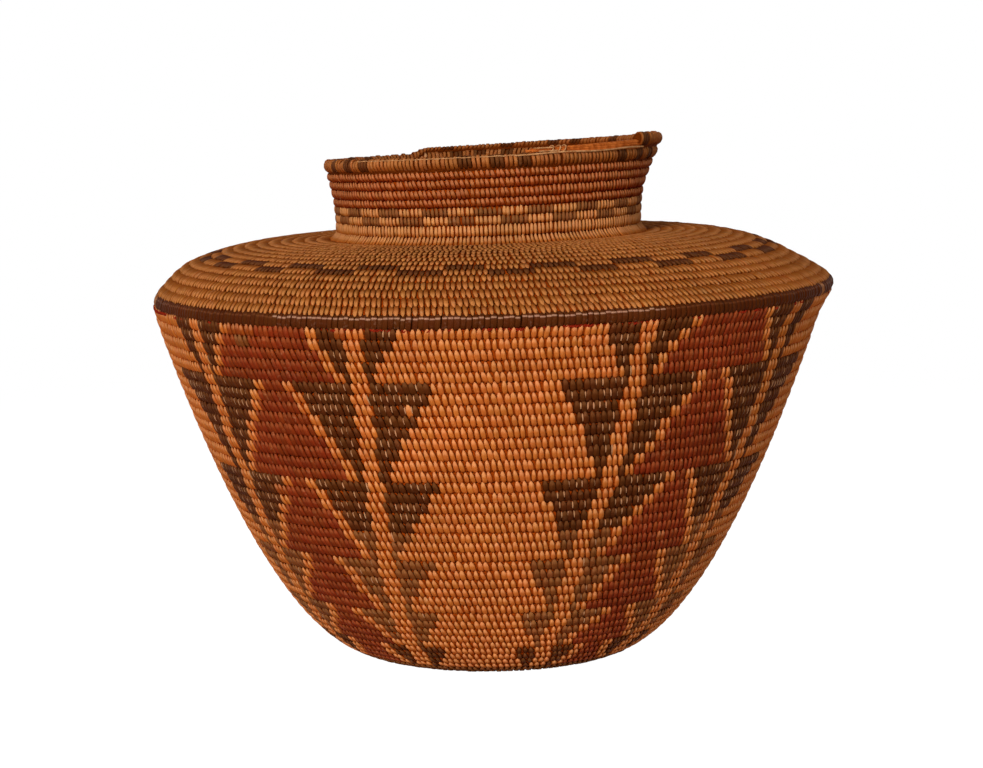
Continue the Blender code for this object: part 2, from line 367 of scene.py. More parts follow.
def strand_mesh(stitches, stations, thickness=STRAND_THICKNESS, inside=0.0):
    """Bend blank strands onto the coil.

    Each station of the table is the rise off the middle of the course, as a share of the
    course, the drift to the right and the half width, as shares of the pitch, the height off
    the outer shape in millimetres, and the painted light there, from 0 for painted shade to 1
    for a painted highlight.
    Strands on the inner face lie at a depth inside the outer shape.
    """
    table = np.array(stations)
    mesh = blank_strands(stitches.count, len(table))
    blank = read_points(mesh)
    index = np.rint(blank[:, 0]).astype(int)
    corner = np.rint((blank[:, 0] - index) / BLANK_STEP + 1.5).astype(int)
    level = np.rint(blank[:, 2]).astype(int)
    under = blank[:, 1] < 0.5
    # The last column is painted light: a painted highlight at the lit end, painted shade at the
    # shaded end
    rise, drift, half, height, painted_light = table[level].T
    height = height / 1000
    course = (stitches.high - stitches.low)[index]
    run = np.gradient(table[:, 0]) * course.mean()
    climb = np.gradient(table[:, 3]) / 1000
    out = np.stack([climb, -run], axis=1) / np.hypot(run, climb)[:, None]
    drop = np.where(under, thickness, 0)
    middle = (stitches.low + stitches.high)[index] / 2
    length = middle + (rise * stitches.reach[index] + stitches.slide[index]) * course
    length = length - out[level, 0] * drop
    height = height - out[level, 1] * drop + stitches.lift[index]
    if inside:
        height = -inside - height
        mesh.flip_normals()
    across = CORNER_REACH[corner]
    aside = drift * stitches.slant[index] + stitches.shift[index]
    aside = aside + across * half * stitches.width[index]
    angle = angle_of(stitches.turn[index]) + aside * math.tau / stitches.rate[index]
    write_points(mesh, coil.place(length, height, angle))
    along = level / (len(table) - 1)
    point_attribute(mesh, "strand_place", np.stack([across, along, painted_light], axis=1))
    point_attribute(mesh, "strand_tone", stitches.tone[index])
    first_corner, verts = read_faces(mesh)
    owner = index[verts[first_corner]]
    kinds = np.unique(stitches.kind)
    mesh.polygons.foreach_set("material_index",
                              np.searchsorted(kinds, stitches.kind[owner]).astype(np.int32))
    lay_out_strands(mesh, stitches.count, first_corner, verts, index, corner, level, len(table))
    return mesh, kinds


# Strips of strands on the map, as a share of the root of their number
STRIP_SHARE = 0.62
# In a strand's cell: start and width of its seen faces and of its underside, start and height
# of both, and how far the ends stand out
SEEN_CELL = (0.04, 0.74)
UNDER_CELL = (0.84, 0.12)
CELL_RUN = (0.05, 0.9)
CELL_CAP = 0.03


def lay_out_strands(mesh, count, first_corner, verts, index, corner, level, stations):
    """Give each strand its own cell of the OFBake map."""
    strips = max(1, round(STRIP_SHARE * math.sqrt(count)))
    per_strip = math.ceil(count / strips)
    face = np.repeat(np.arange(len(first_corner)), np.diff(np.append(first_corner, len(verts))))
    cell, side, step = index[verts], corner[verts], level[verts]
    cap = np.minimum.reduceat(step, first_corner) == np.maximum.reduceat(step, first_corner)
    whole = ((np.minimum.reduceat(side, first_corner) == 0)
             & (np.maximum.reduceat(side, first_corner) == 3))
    under = (whole & ~cap)[face]
    u = np.where(under, UNDER_CELL[0] + side / 3 * UNDER_CELL[1],
                 SEEN_CELL[0] + side / 3 * SEEN_CELL[1])
    v = CELL_RUN[0] + step / (stations - 1) * CELL_RUN[1]
    cap_step = np.where(np.isin(side, (1, 2)), CELL_CAP, 0)
    v = np.where(cap[face], v + np.where(step == 0, -cap_step, cap_step), v)
    bake_map(mesh, (cell % per_strip + u) / per_strip, (cell // per_strip + v) / strips)


BUNDLE_SIDES = 8
# Depth at which the bundle's top lies below the outer shape
BUNDLE_CREST = 0.00045
BUNDLE_STEP = 0.0035
# A band has at least so many steps, counted at no smaller a radius than this
FEWEST_STEPS = 12
SMALLEST_RADIUS = 0.02
# Width of the bundle's strips on the map, in metres, and their margin as a share of it
STRIP_WIDTH = 0.012
STRIP_MARGIN = 0.04
MERGE_REACH = 0.000001


def bundle_mesh(first, last, depth, fill, low_fill, squareness):
    """The foundation of a band: one closed tube of stems along the coil."""
    middle = coil.at(coil.joint(np.array([(first + last) / 2])))[0][0]
    around_band = (last - first) * math.tau * max(middle, SMALLEST_RADIUS)
    columns = max(FEWEST_STEPS, round(around_band / BUNDLE_STEP))
    bm = bmesh.new()
    bmesh.ops.create_grid(bm, x_segments=columns, y_segments=BUNDLE_SIDES, size=1)
    mesh = mesh_of(bm, "bundle")
    grid = read_points(mesh)
    along = np.rint((grid[:, 0] + 1) / 2 * columns).astype(int)
    around = np.rint((grid[:, 1] + 1) / 2 * BUNDLE_SIDES).astype(int)
    turn = first + (last - first) * along / columns
    low, high = coil.joint(turn), coil.joint(turn, 1)
    lap = around / BUNDLE_SIDES * math.tau
    across, up = np.sin(lap), np.cos(lap)
    half = (high - low) / 2 * np.where(across < 0, low_fill, fill)
    length = (low + high) / 2 + half * np.sign(across) * np.abs(across) ** squareness
    height = -BUNDLE_CREST - depth / 2 + depth / 2 * np.sign(up) * np.abs(up) ** squareness
    write_points(mesh, on_coil(turn, length, height))
    point_attribute(mesh, "strand_place", np.stack([lap, turn, 0 * lap], axis=1))
    lay_out_bundle(mesh, along, around, columns)
    bm = bmesh.new()
    bm.from_mesh(mesh)
    bmesh.ops.remove_doubles(bm, verts=bm.verts, dist=MERGE_REACH)
    bmesh.ops.holes_fill(bm, edges=[edge for edge in bm.edges if edge.is_boundary])
    bmesh.ops.recalc_face_normals(bm, faces=bm.faces)
    bm.to_mesh(mesh)
    bm.free()
    return mesh


def lay_out_bundle(mesh, along, around, columns):
    """Lay the bundle on the map in strips side by side."""
    strips = max(1, round(math.sqrt(columns * BUNDLE_STEP / STRIP_WIDTH)))
    per_strip = math.ceil(columns / strips)
    first_corner, verts = read_faces(mesh)
    cell = np.repeat(np.minimum.reduceat(along[verts], first_corner), 4)
    across = STRIP_MARGIN + around[verts] / BUNDLE_SIDES * (1 - 2 * STRIP_MARGIN)
    bake_map(mesh, (cell % per_strip + along[verts] - cell) / (per_strip + 0.1),
             (cell // per_strip + across) / strips)


# Materials

def new_material(name):
    made = bpy.data.materials.new(name)
    made.use_nodes = True
    return made, made.node_tree, made.node_tree.nodes["Principled BSDF"]


def feed(tree, socket, value):
    """Give a socket a link, a number or a plain colour."""
    if isinstance(value, bpy.types.NodeSocket):
        tree.links.new(value, socket)
    elif isinstance(value, (int, float)):
        socket.default_value = value
    else:
        socket.default_value = (*value, 1)


def node(tree, kind, **values):
    """A node with its settings and sockets given by name."""
    made = tree.nodes.new(kind)
    for key, value in values.items():
        if hasattr(made, key):
            setattr(made, key, value)
        else:
            feed(tree, made.inputs[key.replace("_", " ")], value)
    return made


def noise(tree, vector, scale, detail, roughness):
    return node(tree, "ShaderNodeTexNoise", Vector=vector, Scale=scale, Detail=detail,
                Roughness=roughness).outputs["Fac"]


def mix_colour(tree, factor, first, second):
    """Mix two colours, each a link or a plain colour, by a link or a number."""
    made = node(tree, "ShaderNodeMix", data_type="RGBA")
    for socket, value in ((0, factor), (6, first), (7, second)):
        feed(tree, made.inputs[socket], value)
    return made.outputs[2]


def calc(tree, operation, *values):
    made = node(tree, "ShaderNodeMath", operation=operation)
    for socket, value in zip(made.inputs, values):
        feed(tree, socket, value)
    return made.outputs[0]


def remap(tree, value, low, high, to_low=0.0, to_high=1.0):
    made = node(tree, "ShaderNodeMapRange", interpolation_type="SMOOTHSTEP")
    for socket, number in zip(made.inputs, (value, low, high, to_low, to_high)):
        feed(tree, socket, number)
    return made.outputs[0]


def build_strand_group():
    """Colour, roughness and height of a split plant strand, from its place on the strand; the
    colour carries painted light, a painted highlight in the crest colour and painted shade in
    the edge colour.
    """
    group = bpy.data.node_groups.new("strand surface", "ShaderNodeTree")
    colours, numbers = ("Crest", "Body", "Edge", "Worn"), ("Wear", "Spread", "Roughness")
    for name in colours + numbers:
        kind = "NodeSocketColor" if name in colours else "NodeSocketFloat"
        group.interface.new_socket(name, in_out="INPUT", socket_type=kind)
    for name, kind in (("Colour", "NodeSocketColor"), ("Roughness", "NodeSocketFloat"),
                       ("Height", "NodeSocketFloat")):
        group.interface.new_socket(name, in_out="OUTPUT", socket_type=kind)
    take = group.nodes.new("NodeGroupInput").outputs
    give = group.nodes.new("NodeGroupOutput").inputs

    def add(first, second):
        return calc(group, "ADD", first, second)

    def less(first, second):
        return calc(group, "SUBTRACT", first, second)

    def times(first, second):
        return calc(group, "MULTIPLY", first, second)

    place = node(group, "ShaderNodeAttribute", attribute_name="strand_place")
    tone = node(group, "ShaderNodeAttribute", attribute_name="strand_tone")
    across, along, painted_light_level = node(group, "ShaderNodeSeparateXYZ",
                               Vector=place.outputs["Vector"]).outputs
    own_tone, own_hue, own_wear = node(group, "ShaderNodeSeparateXYZ",
                                       Vector=tone.outputs["Vector"]).outputs

    # Fibres run along the strand
    course = node(group, "ShaderNodeCombineXYZ", X=times(across, 5.0), Y=times(along, 1.6),
                  Z=times(own_tone, 97))
    fibre = noise(group, course.outputs[0], 1.0, 3, 0.6)

    # Age and dust lie over the basket in patches
    surface = group.nodes.new("ShaderNodeTexCoord").outputs["Object"]
    patch = noise(group, surface, 42, 3, 0.55)
    speck = noise(group, surface, 950, 2, 0.6)

    # Painted shade darkens each strand towards its sides, where the gaps between strands lie, and
    # the painted light runs the colour from the edge colour through the body colour to the crest
    # colour as a painted highlight
    edge = remap(group, calc(group, "ABSOLUTE", across), 0.55, 1.0)
    painted_light_and_shade = times(painted_light_level, less(1.0, times(edge, 0.7)))
    streak = times(less(fibre, 0.5), 0.5)
    painted_light_and_shade = add(painted_light_and_shade, times(streak, 0.5))
    base = mix_colour(group, remap(group, painted_light_and_shade, 0.0, 0.5), take["Edge"], take["Body"])
    base = mix_colour(group, remap(group, painted_light_and_shade, 0.5, 1.0), base, take["Crest"])
    worn_spot = times(remap(group, speck, 0.52, 0.68), remap(group, own_wear, 0.55, 1.0, 0.2, 1))
    base = mix_colour(group, times(times(worn_spot, take["Wear"]), painted_light_and_shade), base, take["Worn"])

    # Strand by strand and patch by patch the colour is lighter or deeper
    spread = times(less(own_tone, 0.5), take["Spread"])
    patches = times(less(patch, 0.5), 0.55)
    hue = node(group, "ShaderNodeHueSaturation", Saturation=1, Color=base,
               Hue=add(0.497, times(own_hue, 0.006)),
               Value=add(1.0, add(spread, add(patches, streak))))
    feed(group, give["Colour"], hue.outputs[0])
    rough = add(take["Roughness"], times(less(speck, 0.5), 0.5))
    feed(group, give["Roughness"], add(rough, times(less(1.0, painted_light_and_shade), 0.2)))
    feed(group, give["Height"], add(times(fibre, 0.7), times(speck, 0.3)))
    return group


strand_group = build_strand_group()


# Strength of the fine relief, its depth in metres, and gloss
STRAND_FINISH = (0.6, 0.00010, 0.015)
BUNDLE_FINISH = (0.7, 0.0002, 0.015)
FIBRE_FINISH = (0.6, 0.0001, 0.03)


def give_surface(tree, shader, colour, roughness, height, relief, grain, gloss):
    """Feed a colour, a roughness and a fine relief, with its depth in metres, to a shader."""
    bump = node(tree, "ShaderNodeBump", Strength=relief, Distance=grain, Height=height)
    for name, value in (("Base Color", colour), ("Roughness", roughness),
                        ("Normal", bump.outputs[0]), ("Specular IOR Level", gloss)):
        feed(tree, shader.inputs[name], value)


def strand_material(name, crest, body, edge, worn, wear, spread, roughness):
    made, tree, shader = new_material(name)
    surface = node(tree, "ShaderNodeGroup", node_tree=strand_group, Crest=crest, Body=body,
                   Edge=edge, Worn=worn, Wear=wear, Spread=spread, Roughness=roughness)
    give_surface(tree, shader, *surface.outputs, *STRAND_FINISH)
    return made


# Kinds of strand, and for each its name, colours at crest, body, edge and worn spots, wear,
# spread of the tone and roughness; the crest colour shows as a painted highlight and the edge
# colour as painted shade
(TAN, DUSTY, RUSSET_AND_SHADED_NECK_TAN, RED, DARK, FADED, RIDGE_DARK, PALE, FOOT_TAN, RIM_DUSKY_SHADED_TAN, RIDGE_PAINTED_GLINT,
 INSIDE_TAN, FOOT_SHADED_TAN) = range(13)
STRANDS = [strand_material(*row) for row in (
    ("tan strand", (0.62, 0.224, 0.075), (0.46, 0.112, 0.017), (0.36, 0.045, 0.001),
     (0.76, 0.39, 0.17), 0.35, 0.24, 0.68),
    ("dusty tan strand", (0.47, 0.165, 0.044), (0.27, 0.070, 0.0092), (0.18, 0.024, 0.0005),
     (0.52, 0.27, 0.12), 0.45, 0.30, 0.72),
    # The russet strand also serves the neck body: its tan darkened as painted shade of the round
    # coils
    ("russet strand and shaded neck tan", (0.45, 0.138, 0.046), (0.24, 0.041, 0.005), (0.16, 0.011, 0.0004),
     (0.55, 0.26, 0.12), 0.3, 0.32, 0.66),
    ("red-brown strand", (0.25, 0.051, 0.0140), (0.175, 0.0210, 0.0036), (0.13, 0.009, 0.0005),
     (0.42, 0.16, 0.07), 0.5, 0.60, 0.64),
    ("dark strand", (0.128, 0.039, 0.0105), (0.074, 0.0158, 0.0026), (0.047, 0.006, 0.0004),
     (0.24, 0.11, 0.05), 0.3, 0.40, 0.6),
    ("faded dark strand", (0.250, 0.086, 0.025), (0.165, 0.041, 0.008), (0.115, 0.017, 0.0008),
     (0.38, 0.19, 0.09), 0.35, 0.35, 0.62),
    ("ridge strand", (0.125, 0.034, 0.010), (0.074, 0.0160, 0.0028), (0.060, 0.0100, 0.0008),
     (0.26, 0.11, 0.05), 0.2, 0.20, 0.45),
    ("worn pale strand", (0.46, 0.215, 0.10), (0.34, 0.125, 0.042), (0.22, 0.055, 0.008),
     (0.62, 0.38, 0.22), 0.4, 0.25, 0.66),
    ("tan strand of the neck", (0.60, 0.240, 0.080), (0.39, 0.106, 0.016), (0.27, 0.036, 0.0008),
     (0.70, 0.38, 0.18), 0.35, 0.30, 0.68),
    # The rim's tan is duskier than the wall's and darker still as painted shade of its downward
    # wraps
    ("dusky tan strand of the rim with painted shade", (0.37, 0.120, 0.032), (0.235, 0.053, 0.007), (0.15, 0.017, 0.0005),
     (0.55, 0.28, 0.13), 0.45, 0.32, 0.68),
    # The ridge's strands where the key lamp's highlight falls: a painted glint, light at the
    # crest
    ("ridge strand with painted glint", (0.39, 0.19, 0.115), (0.080, 0.0180, 0.0034),
     (0.060, 0.0100, 0.0008), (0.60, 0.34, 0.22), 0.3, 0.20, 0.45),
    ("tan strand inside the neck", (0.62, 0.290, 0.125), (0.45, 0.170, 0.055),
     (0.30, 0.080, 0.012), (0.70, 0.42, 0.22), 0.3, 0.30, 0.70),
    # Painted shade of the underside, for the base and the lowest heel courses
    ("tan strand with painted shade of the foot", (0.21, 0.066, 0.018), (0.130, 0.031, 0.0055), (0.080, 0.011, 0.0005),
     (0.30, 0.14, 0.06), 0.4, 0.35, 0.74),
)]


def give_pattern(tree, shader, pattern, deep, light, rough, smooth, *finish):
    """A deep rough tone and a light smoother one, mixed by a pattern that is also the relief."""
    give_surface(tree, shader, mix_colour(tree, remap(tree, pattern, 0.35, 0.65), deep, light),
                 remap(tree, pattern, 0.2, 0.8, rough, smooth), pattern, *finish)


def bundle_material(name, deep, light):
    """Fine stems side by side, darker in the grooves."""
    made, tree, shader = new_material(name)
    place = node(tree, "ShaderNodeAttribute", attribute_name="strand_place")
    stretch = node(tree, "ShaderNodeVectorMath", operation="MULTIPLY")
    tree.links.new(place.outputs["Vector"], stretch.inputs[0])
    stretch.inputs[1].default_value = STEM_STRETCH
    stems = noise(tree, stretch.outputs[0], 1.0, 3, 0.6)
    give_pattern(tree, shader, stems, deep, light, 0.85, 0.65, *BUNDLE_FINISH)
    return made


def fibre_material(name, deep, light, scale, roughness):
    """Loose stems and yarn: fine mottling on the piece itself."""
    made, tree, shader = new_material(name)
    surface = tree.nodes.new("ShaderNodeTexCoord")
    mottle = noise(tree, surface.outputs["Object"], scale, 4, 0.65)
    give_pattern(tree, shader, mottle, deep, light, roughness + 0.1, roughness - 0.1,
                 *FIBRE_FINISH)
    return made


# How finely the pattern of a bundle goes round it, and along it by the turn
STEM_STRETCH = (9, 60, 1)
BUNDLE = bundle_material("stem bundle", (0.24, 0.028, 0.0008), (0.36, 0.052, 0.0018))
# The rim's bundle shows between the wraps, darkened as painted shade of those gaps
RIM_BUNDLE_SHADED = bundle_material("stem bundle of the rim with painted shade", (0.10, 0.014, 0.0006),
                             (0.16, 0.028, 0.0015))
DARK_BUNDLE = bundle_material("dark stem bundle", (0.05, 0.008, 0.0005), (0.08, 0.014, 0.001))
STEM = fibre_material("bare split stem", (0.34, 0.066, 0.008), (0.60, 0.155, 0.026), 500, 0.65)
LOOSE_STRAND = fibre_material("loose pale strand", (0.36, 0.14, 0.045), (0.58, 0.29, 0.12), 600,
                              0.6)
RED_YARN = fibre_material("red yarn", (0.15, 0.008, 0.0025), (0.30, 0.020, 0.005), 1500, 0.85)
KNOT = fibre_material("tan knot", (0.42, 0.07, 0.01), (0.70, 0.24, 0.09), 700, 0.65)


# Woven design of the wall

WALL_TOP_ROW = 50
TAN_BAND_HALF = 1.5
DIAGONAL = 2
# Rows below the ridge at which the middles of the tan bands are given, and those middles in
# front degrees: two by two they stand on either side of a motif
BAND_ROWS = (0, 8, 14, 22, 28, 33)
BAND_PAIRS = (((-56, -56.5, -57, -58.5, -60, -60.5), (-21.5, -21.9, -22.3, -23.6, -24.3, -24.3)),
              ((25, 24, 22.4, 18.9, 17.8, 16.2), (58.2, 57, 56, 53, 52.5, 49.8)),
              ((114.5,) * 6, (148,) * 6),
              ((-146,) * 6, (-112,) * 6))
# First turn of each tier, stitches a turn, and the width in stitches of its dark triangles at
# its top and bottom rows
TIERS = {1: (TIER_1, 350.5, 5.3, 1.0), 2: (TIER_2, 318.5, 9.7, 1.2), 3: (TIER_3, 280.5, 8.4, 1.0),
         4: (TIER_4, 240.5, 5.6, 0.8), 5: (TIER_5, 214.5, 5.0, 0.9)}


def off_band(stitches, middles):
    """Stitches from the middle of a tan band, less than 0 on its left."""
    middle = np.interp(WALL_TOP_ROW - stitches.row, BAND_ROWS, middles)
    return (stitches.front - middle) * stitches.rate / 360


def design(stitches, top_row, bottom_row, widest, narrowest):
    """Strand kind of each stitch of a tier: bands, triangles, diagonals and motifs."""
    below = WALL_TOP_ROW - stitches.row
    share = (below - top_row) / max(1, bottom_row - top_row)
    dark_width = np.maximum(0, widest + (narrowest - widest) * share)
    kind = np.full(stitches.count, TAN)
    for left, right in BAND_PAIRS:
        from_left, from_right = off_band(stitches, left), off_band(stitches, right)
        inside = (from_left > 0) & (from_right < 0)
        nearest = np.minimum(np.abs(from_left), np.abs(from_right))
        dark = (nearest > TAN_BAND_HALF) & (nearest < TAN_BAND_HALF + dark_width)
        red = inside & (nearest > TAN_BAND_HALF + dark_width + DIAGONAL)
        kind[dark] = DARK
        kind[red] = RED
    return kind


# Stations of the strands, from one end to the other: see strand_mesh; the last column is painted
# light
LEAF = ((0.63, -0.20, 0.08, -0.36, 0.9), (0.56, -0.18, 0.23, -0.10, 1.0),
        (0.38, -0.12, 0.40, 0.08, 0.95), (0.10, -0.03, 0.49, 0.08, 0.58),
        (-0.20, 0.07, 0.48, -0.06, 0.42), (-0.42, 0.15, 0.38, -0.38, 0.22),
        (-0.62, 0.21, 0.20, -0.85, 0.0))
# On the ridge's roll the full painted light at the fourth station is a narrow painted glint
ROLL = ((0.74, -0.06, 0.52, -0.90, 0.1), (0.60, -0.05, 0.57, -0.42, 0.3),
        (0.40, -0.03, 0.60, -0.06, 0.4), (0.27, -0.02, 0.60, 0.04, 1.0),
        (0.16, -0.01, 0.60, 0.08, 0.4), (-0.14, 0.02, 0.60, 0.05, 0.3),
        (-0.42, 0.04, 0.57, -0.26, 0.25), (-0.62, 0.06, 0.50, -0.80, 0.1))
TEARDROP = ((0.60, -0.10, 0.20, -0.75, 0.0), (0.42, -0.07, 0.36, -0.36, 0.3),
            (0.14, -0.02, 0.46, -0.04, 0.55), (-0.16, 0.03, 0.48, 0.08, 0.75),
            (-0.40, 0.07, 0.43, 0.06, 1.0), (-0.58, 0.10, 0.28, -0.10, 1.0),
            (-0.67, 0.12, 0.09, -0.34, 0.8))
BEAD = ((0.54, -0.24, 0.14, -0.50, 0.9), (0.44, -0.20, 0.34, -0.18, 1.0),
        (0.22, -0.11, 0.46, 0.02, 1.0), (0.0, 0.0, 0.50, 0.08, 0.7),
        (-0.22, 0.11, 0.48, -0.06, 0.35), (-0.42, 0.20, 0.40, -0.42, 0.1),
        (-0.58, 0.26, 0.26, -0.85, 0.0))
FOOT = ((0.56, -0.06, 0.16, -0.42, 0.9), (0.46, -0.05, 0.34, -0.12, 1.0),
        (0.22, -0.03, 0.46, 0.05, 1.0), (-0.05, 0.0, 0.49, 0.08, 0.85),
        (-0.28, 0.03, 0.46, -0.02, 0.6), (-0.46, 0.06, 0.36, -0.35, 0.3),
        (-0.60, 0.08, 0.20, -0.80, 0.0))
INNER = ((0.58, -0.14, 0.20, -0.40, 0.7), (0.30, -0.07, 0.42, 0.04, 0.9),
         (0.0, 0.0, 0.48, 0.10, 0.7), (-0.30, 0.07, 0.42, -0.05, 0.5),
         (-0.60, 0.14, 0.20, -0.60, 0.0))
SLIVER = ((0.52, -0.12, 0.05, -0.30, 0.8), (0.42, -0.10, 0.13, -0.02, 1.0),
          (0.20, -0.05, 0.15, 0.06, 1.0), (-0.02, 0.0, 0.11, -0.02, 0.9),
          (-0.16, 0.03, 0.04, -0.30, 0.5))
EDGE_SLIVER = ((0.58, -0.15, 0.05, -0.30, 0.8), (0.45, -0.12, 0.14, -0.02, 1.0),
               (0.10, -0.02, 0.16, 0.06, 0.9), (-0.25, 0.08, 0.12, -0.08, 0.7),
               (-0.50, 0.15, 0.05, -0.50, 0.2))


# Strands that wrap the whole rim, from inside its foot over the top to outside: places around
# the bundle in degrees, 0 outside, 90 on top and 180 inside, with the half width and the painted
# light there, and the reach, drift, middle depth and half thickness of the wrap
WRAP_PLACES = ((246, 0.30, 0.1), (215, 0.44, 0.5), (180, 0.48, 0.8), (150, 0.48, 0.9),
               (120, 0.48, 0.9), (92, 0.48, 0.8), (64, 0.48, 1.0), (36, 0.48, 1.0),
               (8, 0.48, 0.75), (-24, 0.47, 0.45), (-52, 0.42, 0.2), (-76, 0.30, 0.0))
WRAP_REACH = 0.50
WRAP_DRIFT = -0.20
WRAP_MIDDLE = -1.75
WRAP_HALF = 1.85
WRAP = tuple((WRAP_REACH * math.sin(math.radians(lap)), WRAP_DRIFT * math.sin(math.radians(lap)),
              half, WRAP_MIDDLE + WRAP_HALF * math.cos(math.radians(lap)), painted_light_level)
             for lap, half, painted_light_level in WRAP_PLACES)
INNER_DEPTH = COIL_DEPTH - 0.0003
# Chance of a pale sliver between two dark stitches, by rows below the ridge
SLIVER_ROWS = (0, 1, 2, 3, 5, 6, 7, 8, 9, 10, 11, 12, 13, 14, 16, 18, 19, 23, 24, 25, 28, 29,
               30, 33)
SLIVER_CHANCE = (0.2, 0.45, 0.4, 0.15, 0.35, 0.7, 0.85, 0.4, 0.65, 0.6, 0.4, 0.15, 0.1, 0.6,
                 0.55, 0.4, 0.1, 0.1, 0.3, 0.1, 0.3, 0.1, 0.2, 0.05)
EDGE_SLIVER_CHANCE = 0.12
FADED_ROW = 19
DARK_SPREAD = 1.17
DARK_REACH = 1.07
# Repairs and wear: row below the ridge, front angles from and to, kind of strand
ODD_STITCHES = ((0, -24.6, -22.6, RUSSET_AND_SHADED_NECK_TAN), (7, -14.4, -12.5, TAN), (0, -47, -40, RUSSET_AND_SHADED_NECK_TAN),
                (1, -45, -42, FADED), (15, -48, -44, RUSSET_AND_SHADED_NECK_TAN), (20, 38, 41, RUSSET_AND_SHADED_NECK_TAN))


def sew(name, node_name, stitches, stations, thickness=STRAND_THICKNESS, inside=0.0):
    mesh, kinds = strand_mesh(stitches, stations, thickness, inside)
    add_piece(name, mesh, (node_name,), [STRANDS[kind] for kind in kinds])


def lay_bundle(node_name, first, last, depth=COIL_DEPTH - 2 * BUNDLE_CREST, fill=1.03,
               low_fill=None, squareness=0.8, surface=BUNDLE):
    mesh = bundle_mesh(first, last, depth, fill, low_fill or fill, squareness)
    add_piece(node_name.replace("_coil", "") + "_bundle", mesh, (node_name,),
              [surface])


def line_inside(node_name, first, last, rates, kind):
    """The sewing as it shows on the inner face of a band, without the painted shade of the
    underside.
    """
    stitches = Stitches(first, last, *rates)
    stitches.kind[:] = kind
    stitches.kind[stitches.kind == FOOT_SHADED_TAN] = TAN
    sew(node_name.replace("_coil", "") + "_inner_stitches", node_name, stitches, INNER,
        inside=INNER_DEPTH)


def add_slivers(name, node_name, stitches, chosen, stations):
    slivers = stitches.between(chosen)
    slivers.kind[:] = PALE
    sew(name, node_name, slivers, stations, STRAND_THICKNESS / 2)


def beside_band(stitches):
    """Gaps, after each stitch but the last, that lie at the edge of a tan band."""
    beside = np.any([np.abs(off_band(stitches, middles)) < TAN_BAND_HALF + 1
                     for pair in BAND_PAIRS for middles in pair], axis=0)
    return beside[:-1] & beside[1:]


def sew_wall():
    last = RIDGE
    for tier, (first, rate, widest, narrowest) in TIERS.items():
        stitches = Stitches(first, last, rate)
        stitches.kind = design(stitches, WALL_TOP_ROW - last + 1, WALL_TOP_ROW - first,
                               widest, narrowest)
        below = WALL_TOP_ROW - stitches.row
        dark = stitches.kind == DARK
        chance = np.interp(below[:-1], SLIVER_ROWS, SLIVER_CHANCE)
        draw = rng.random(stitches.count - 1)
        coil_node = f"wall_tier_{tier}_coil"
        add_slivers(f"wall_tier_{tier}_slivers", coil_node, stitches,
                    dark[:-1] & dark[1:] & (draw < chance), SLIVER)
        edge = (dark[:-1] != dark[1:]) & beside_band(stitches) & (draw < EDGE_SLIVER_CHANCE)
        add_slivers(f"wall_tier_{tier}_edge_slivers", coil_node, stitches, edge,
                    EDGE_SLIVER)
        dyed = dark | (stitches.kind == RED)
        stitches.width[dyed] *= DARK_SPREAD
        stitches.reach[dyed] *= DARK_REACH
        stitches.kind[dark & (below >= FADED_ROW)] = FADED
        for row, low, high, kind in ODD_STITCHES:
            odd = (below == row) & (stitches.front > low) & (stitches.front < high)
            stitches.kind[odd] = kind
        sew(f"wall_tier_{tier}_stitches", coil_node, stitches, LEAF)
        line_inside(coil_node, first, last, (rate,), stitches.kind)
        lay_bundle(coil_node, first, last)
        last = first


def sew_band(node_name, first, last, rates, slot, kind, stations, inside=True, dark=None,
             dark_kind=DARK, worn=(), inside_kind=None, **bundle):
    """A band's strands, of one kind or by a rule, its dark blocks, inner face and bundle."""
    stitches = Stitches(first, last, *rates)
    stitches.kind[:] = kind(stitches) if callable(kind) else kind
    # The strands next to the ridge stop short of it
    stitches.slide[stitches.row == SHOULDER_OUTER] += RIDGE_CLEARANCE
    if dark is not None:
        stitches.kind[dark(stitches)] = dark_kind
    # Worn patches take their own kind of strand, and so does the ridge's painted glint
    for low, high, wear_and_glint_kind in worn:
        stitches.kind[(stitches.front > low) & (stitches.front < high)] = wear_and_glint_kind
    sew(node_name.replace("_coil", "") + "_stitches", node_name, stitches, stations)
    if inside:
        line_inside(node_name, first, last, rates,
                    stitches.kind if inside_kind is None else inside_kind)
    lay_bundle(node_name, first, last, **bundle)


def blocks(first, per_turn, middle):
    """A test for stitches in dark blocks, so many a turn from the band's first turn."""
    def in_block(stitches):
        place = (stitches.turn - first) * per_turn - middle
        return np.abs((place + 0.5) % 1 - 0.5) < BLOCK_HALF
    return in_block


def rim_blocks(stitches):
    """Groups of three short blocks, six groups a turn, but single ones on the last half turn."""
    off = (stitches.front - RIM_GROUP_MIDDLE + RIM_GROUP / 2) % RIM_GROUP - RIM_GROUP / 2
    beside = np.abs(np.abs(off) - 2 * RIM_BLOCK)
    dark = (np.abs(off) < RIM_BLOCK / 2) | (beside < RIM_BLOCK / 2)
    last = stitches.row > RIM
    nearest = np.abs((stitches.front[:, None] - LAST_RIM_BLOCKS + 180) % 360 - 180).min(axis=1)
    return np.where(last, nearest < RIM_BLOCK / 2, dark)


def heel_design(stitches):
    """The last rows of the wall's design, on the heel."""
    top = WALL_TOP_ROW - TIER_5 + 1
    kind = design(stitches, top, top + HEEL_ROWS, *HEEL_TRIANGLE)
    # The lowest courses take the tan with painted shade of the underside
    return np.where(stitches.row < FOOT_SHADE_COURSES, FOOT_SHADED_TAN, kind)


# Rows over which the design's triangles end on the heel, and their widths there
HEEL_ROWS = 4
HEEL_TRIANGLE = (3.6, 0.0)
RIDGE_CLEARANCE = 0.15
# Courses, counted from the knot, whose outside carries painted shade of the underside
FOOT_SHADE_COURSES = 14
